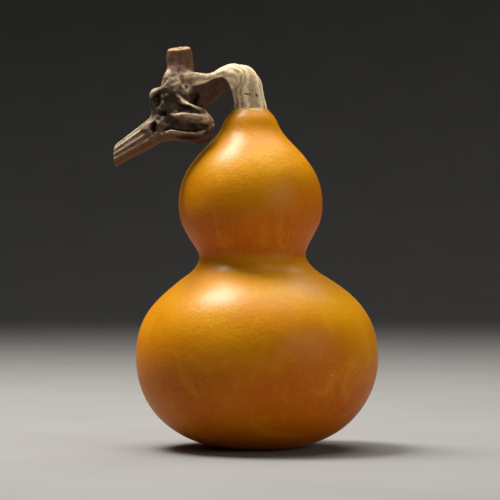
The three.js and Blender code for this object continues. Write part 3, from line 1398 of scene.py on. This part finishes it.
    def distance(self, places: np.ndarray) -> np.ndarray:
        """Measures points against the whole stem.

        Args:
            places: One row of three coordinates for each point, in millimetres.

        Returns:
            Distances to the bark, negative inside it.
        """
        bent = self.bent(places)
        whole = np.full(len(places), Limb.far)
        for lump in self.node_lumps:
            whole = grow_together(whole, lump.distance(bent), lump.softness)
        whole = whole + self.swell * self.waves.layered(bent, 2.4, 3)
        whole = whole + self.wrinkle * (0.5 - 2.0 * np.abs(self.waves.layered(bent + 9.0, 2.1, 2)))
        for limb in self.limbs():
            reach = limb.reach(bent)
            near = reach.distance < limb.far
            reach = reach.at(near)
            grown = reach.distance - limb.fibre * limb.grain(reach, self.waves)
            whole[near] = grow_together(whole[near], grown, limb.softness)
        for pit in self.pits:
            whole = -grow_together(-whole, pit.distance(bent), pit.softness)
        for cut in self.cuts:
            whole = -grow_together(-whole, -cut.distance(places, self.waves), 0.25)
        return whole + 0.04 * self.waves.layered(places, 0.8, 2)

    def skin(self) -> Skin:
        """Wraps the stem in a mesh and works out its masks.

        Returns:
            The stem's mesh in the making, in metres.
        """
        up = Vector((0.0, 0.0, self.top))
        low = tuple((value / MM) - self.margin for value in self.low - up)
        high = tuple((value / MM) + self.margin for value in self.high - up)
        points, quads = largest_part(*Wrap(low, high, self.cell).mesh(self.distance))
        points = settle(points, quads, 0.5, 1)
        masks = self.masks(points, facing(points, quads))
        placed = points * MM + np.array(up)
        return Skin(placed, [tuple(quad) for quad in quads.tolist()], masks)

    def shaded(self, points: np.ndarray) -> np.ndarray:
        """Finds the arch's underside, which is painted dark: painted shade, over bark that is a darker brown
        there as well.

        Args:
            points: The stem's points, in millimetres.

        Returns:
            How much each point lies under the arch, from 0 to 1.
        """
        line = np.array(self.shade_line)
        ragged = 0.12 * self.waves.layered(points, 1.2, 2)
        return ease(np.interp(points[:, 0], line[:, 0], line[:, 1]) - points[:, 2] + ragged, -0.1, 0.25)

    def crowded(self, points: np.ndarray, normals: np.ndarray, reach: float) -> np.ndarray:
        """Says how much nearer the bark is, a little way off each point, than it would be on a flat face.

        Args:
            points: The stem's points, in millimetres.
            normals: The directions straight out of the bark.
            reach: How far off to look. Below 0, it looks inside the wood, which finds crests and not grooves.

        Returns:
            A value from 0 on a flat face to 1.
        """
        return np.clip(1.0 - self.distance(points + normals * reach) / reach, 0.0, 1.0)

    def masks(self, points: np.ndarray, normals: np.ndarray) -> dict[str, np.ndarray]:
        """Works out how each point of the bark weathered, and where painted shade and painted light go.

        Args:
            points: The stem's points, in millimetres.
            normals: The directions straight out of the bark.

        Returns:
            A value from 0 to 1 at each point, for each mask that the finish reads.
        """
        groove = self.crowded(points, normals, self.groove_reach)
        hollow = self.crowded(points, normals, self.hollow_reach)
        crest = self.crowded(points, normals, -self.crest_reach)
        bent = self.bent(points)
        share = {growth: np.zeros(len(points)) for growth in Growth}
        near_node = np.min([lump.distance(bent) for lump in self.node_lumps], axis=0)
        share[Growth.NODE] += np.exp(-np.maximum(near_node, -0.5) / self.blend)
        fibres = share[Growth.NODE] * self.waves.layered(points, 0.8, 3)
        streaks, ribs = fibres.copy(), np.zeros(len(points))
        for limb in self.limbs():
            reach = limb.reach(bent)
            weight = np.exp(-np.maximum(reach.distance, -0.5) / self.blend)
            share[limb.growth] += weight
            fibres += weight * limb.grain(reach, self.waves, 0.75, 9.0)
            streaks += weight * limb.grain(reach, self.waves, 1.3, 16.0)
            ribs += weight * reach.rib
        whole = sum(share.values())
        share = {growth: weight / whole for growth, weight in share.items()}
        fibres, streaks, ribs = fibres / whole, streaks / whole, ribs / whole
        mottle = self.waves.layered(points + 31.0, self.mottle_length, 3)
        blotch = self.waves.layered(points + 57.0, self.blotch_length, 3)
        up = normals[:, 2]
        # Painted shade: the arch's underside, left of the stalk's upright part.
        arch_shade_and_dark_bark = self.shaded(points) * ease(points[:, 0], -14.4, -13.4)
        stalk, lip, vine = share[Growth.STALK], share[Growth.LIP], share[Growth.VINE]
        pale = stalk * (1.0 - arch_shade_and_dark_bark) * ease(points[:, 0], -14.2, -11.8)
        # Painted light: the lips are paler where they face up.
        pale = np.maximum(pale, ease(lip, 0.15, 0.5) * ease(up, -0.6, -0.1) * ease(blotch, -0.4, 0.0))
        vine_ribs = 0.7 * vine * ease(ribs + 0.4 * fibres, 0.55, 1.05)
        # Painted light: the vine's ribs are paler on their upper sides.
        pale = np.maximum(pale, vine_ribs * ease(up + 0.3 * blotch, -0.4, 0.2))
        shoot_foot = 0.5 * share[Growth.SHOOT] * ease(points[:, 2] + mottle, 7.8, 5.8)
        pale = np.maximum(pale, shoot_foot * ease(blotch, -0.1, 0.3))
        # Pale patches, paler still where they face up: partly real pale bark, partly painted light.
        bleached_and_lit = 0.85 * self.patches(self.bleached_and_lit, points)
        pale = np.maximum(pale, bleached_and_lit * ease(blotch + 0.4 * up, -0.2, 0.3))
        rust_and_shade = share[Growth.SHOOT] * ease(points[:, 2] + mottle, 6.0, 8.0)
        # Painted shade: the vine below the node is rust-brown on faces that look down.
        rust_and_shade = np.maximum(rust_and_shade, vine * ease(up + 0.2 * blotch, 0.45, -0.1))
        rust_and_shade = np.maximum(rust_and_shade, share[Growth.MOUTH])
        valley = 1.0 - ease(ribs, 0.1, 0.8)
        stain = (0.1 + 0.9 * valley) * ease(streaks + 0.5 * blotch + 0.25 * valley, -0.15, 0.2)
        foot = ease(points[:, 2], 1.5, 0.6) * ease(points[:, 2], 0.0, 0.25) * ease(blotch, 0.0, 0.35) * stalk
        # Painted shade: the node darkens on faces that look down and in its shaded patches.
        shade_dark = self.patches(self.node_dark_and_shade, points) * ease(blotch + up, 0.9, -0.1)
        node = share[Growth.NODE] * ease(up + 0.5 * mottle, 0.75, -0.15)
        pale = pale * (1.0 - 0.8 * shade_dark * shade_dark)
        return {
            "pale": np.clip(pale, 0.0, 1.0),
            "arch_shade_and_dark_bark": np.clip((stalk + share[Growth.NODE] + share[Growth.MOUTH]) * arch_shade_and_dark_bark, 0.0, 1.0),
            "rust_and_shade": np.clip(rust_and_shade + 0.15 * mottle, 0.0, 1.0),
            "fibre": np.clip(0.5 + 0.9 * fibres, 0.0, 1.0),
            "crest": ease(crest, 0.12, 0.6),
            "node_dark_and_shade": np.clip(np.maximum(0.95 * shade_dark, 0.82 * node), 0.0, 1.0),
            # Painted shade where the bark is hollow or grooved.
            "crevice_shade": np.clip(0.6 * ease(hollow, 0.42, 0.95) + 0.5 * ease(groove, 0.2, 0.7), 0.0, 0.92),
            "stain": np.clip(0.85 * stain + 0.6 * foot + 0.5 * ease(groove, 0.12, 0.4), 0.0, 1.0),
            "sawn": self.sawn(points, normals),
        }

    def patches(self, lumps: Iterable[Lump], points: np.ndarray) -> np.ndarray:
        """Says how much each point lies in any of these patches.

        Args:
            lumps: The patches.
            points: The stem's points, in millimetres.

        Returns:
            A value from 0 to 1 at each point.
        """
        ragged = 0.4 * self.waves.layered(points + 13.0, 1.7, 3)
        shares = [ease(lump.distance(points) + ragged, lump.softness, -lump.softness) for lump in lumps]
        return np.max(shares, axis=0)

    def sawn(self, points: np.ndarray, normals: np.ndarray) -> np.ndarray:
        """Finds the sawn faces, where paler wood shows.

        Args:
            points: The stem's points, in millimetres.
            normals: The directions straight out of the bark.

        Returns:
            How much of the sawn wood shows at each point.
        """
        shown = np.zeros(len(points))
        for cut in self.cuts:
            towards = normals @ unit(np.array(cut.away))
            at = np.abs(cut.distance(points, self.waves))
            shown = np.maximum(shown, ease(at, 0.4, 0.12) * ease(towards, 0.3, 0.8))
        return np.clip(shown * (0.8 + 0.5 * self.waves.layered(points, 0.7, 2)), 0.0, 1.0)

    def build(self) -> bpy.types.Object:
        """Builds and dresses the stem, in place of its plain solid."""
        made = self.skin().piece(self.name)
        made.data.materials.append(BarkFinish().material())
        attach(made, "root")
        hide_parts("vine_stem")
        return made


# ---------- the studio ----------


@dataclass(frozen=True)
class Lamp:
    """A soft square light: where it is, how wide it is, how strong it is and its colour."""

    name: str
    place: tuple[float, float, float]
    width: float
    watts: float
    colour: Colour = (1.0, 1.0, 1.0)

    def build(self, target: Vector) -> bpy.types.Object:
        """Puts the light up.

        Args:
            target: The point that it faces.

        Returns:
            The light.
        """
        data = bpy.data.lights.new(self.name, "AREA")
        data.size = self.width
        data.energy = self.watts
        data.color = self.colour
        made = bpy.data.objects.new(self.name, data)
        made.location = self.place
        made.rotation_euler = (target - Vector(self.place)).to_track_quat("-Z", "Y").to_euler()
        made.visible_camera = False
        bpy.context.scene.collection.objects.link(made)
        return made


@dataclass
class Studio:
    """The pale floor that turns up into a wall all round, the soft lights and the camera."""

    eye: tuple[float, float, float] = (-1.42 * MM, -450 * MM, 36.6 * MM)
    aim: tuple[float, float, float] = (-1.42 * MM, 0.0, 40.3 * MM)
    lens: float = 159.2
    nearest: float = 10 * MM
    floor_reach: float = 1.1
    floor_steps: int = 12
    floor_sides: int = 96
    wall_bend: float = 0.5
    wall_steps: int = 16
    wall_height: float = 1.3
    air: Colour = (0.86, 0.86, 0.88)
    air_strength: float = 0.05
    lamps: tuple[Lamp, ...] = (
        Lamp("key_light", (-0.19, 0.07, 0.50), 0.20, 3.7, (1.0, 0.97, 0.92)),
        Lamp("soft_top", (0.03, 0.12, 0.58), 0.55, 3.9, (1.0, 0.97, 0.92)),
        Lamp("front_fill", (0.52, -0.42, 0.15), 0.4, 1.3, (1.0, 0.97, 0.92)),
    )

    def floor(self) -> bpy.types.Object:
        """Builds the floor and its wall.

        Returns:
            The floor.
        """
        bend = np.radians(np.linspace(0.0, 90.0, self.wall_steps))
        flat = np.linspace(0.0, self.floor_reach, self.floor_steps)[1:]
        rows = [(r, 0.0) for r in flat]
        for turn in bend[1:]:
            across = self.floor_reach + self.wall_bend * math.sin(turn)
            rows.append((across, self.wall_bend * (1 - math.cos(turn))))
        rows.append((self.floor_reach + self.wall_bend, self.wall_height))
        sides = self.floor_sides
        turns = np.linspace(0.0, 2.0 * math.pi, sides, endpoint=False)
        points = [(r * math.cos(t), r * math.sin(t), z) for r, z in rows for t in turns] + [(0.0, 0.0, 0.0)]
        faces = []
        for start in range(0, (len(rows) - 1) * sides, sides):
            above = start + sides
            for i in range(sides):
                after = (i + 1) % sides
                faces.append((start + i, above + i, above + after, start + after))
        faces += [(len(points) - 1, i, (i + 1) % sides) for i in range(sides)]
        made = Skin(np.array(points), faces).piece("pale_floor")
        made.data.materials.append(FloorFinish().material())
        return made

    def camera(self) -> bpy.types.Object:
        """Sets the camera up."""
        data = bpy.data.cameras.new("camera")
        data.lens = self.lens
        data.clip_start = self.nearest
        made = bpy.data.objects.new("camera", data)
        made.location = self.eye
        made.rotation_euler = (Vector(self.aim) - Vector(self.eye)).to_track_quat("-Z", "Y").to_euler()
        bpy.context.scene.collection.objects.link(made)
        bpy.context.scene.camera = made
        return made

    def build(self, target: Vector) -> None:
        """Builds the whole studio.

        Args:
            target: The point that the lights face.
        """
        self.camera()
        self.floor()
        for lamp in self.lamps:
            lamp.build(target)
        world = bpy.data.worlds.new("soft_air")
        world.use_nodes = True
        world.node_tree.nodes["Background"].inputs["Color"].default_value = (*self.air, 1.0)
        world.node_tree.nodes["Background"].inputs["Strength"].default_value = self.air_strength
        bpy.context.scene.world = world
        bpy.context.scene.view_settings.view_transform = "Standard"


def report(pieces: Iterable[bpy.types.Object]) -> None:
    """Reports each piece through the log."""
    for piece in pieces:
        log.info("%s: %d points, %d faces", piece.name, len(piece.data.vertices), len(piece.data.polygons))


def main() -> None:
    """Builds the studio and the gourd."""
    logging.basicConfig(level=logging.INFO, format="%(name)s %(message)s")
    fruit_low, fruit_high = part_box("gourd_fruit")
    stem_low, stem_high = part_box("vine_stem")
    Studio().build(Vector((0.0, 0.0, (fruit_low.z + fruit_high.z) / 2)))
    fruit = GourdFruit(fruit_low, fruit_high)
    stem = VineStem(fruit_high.z, stem_low, stem_high)
    report([fruit.build(), stem.build()])


if __name__ == "__main__":
    main()
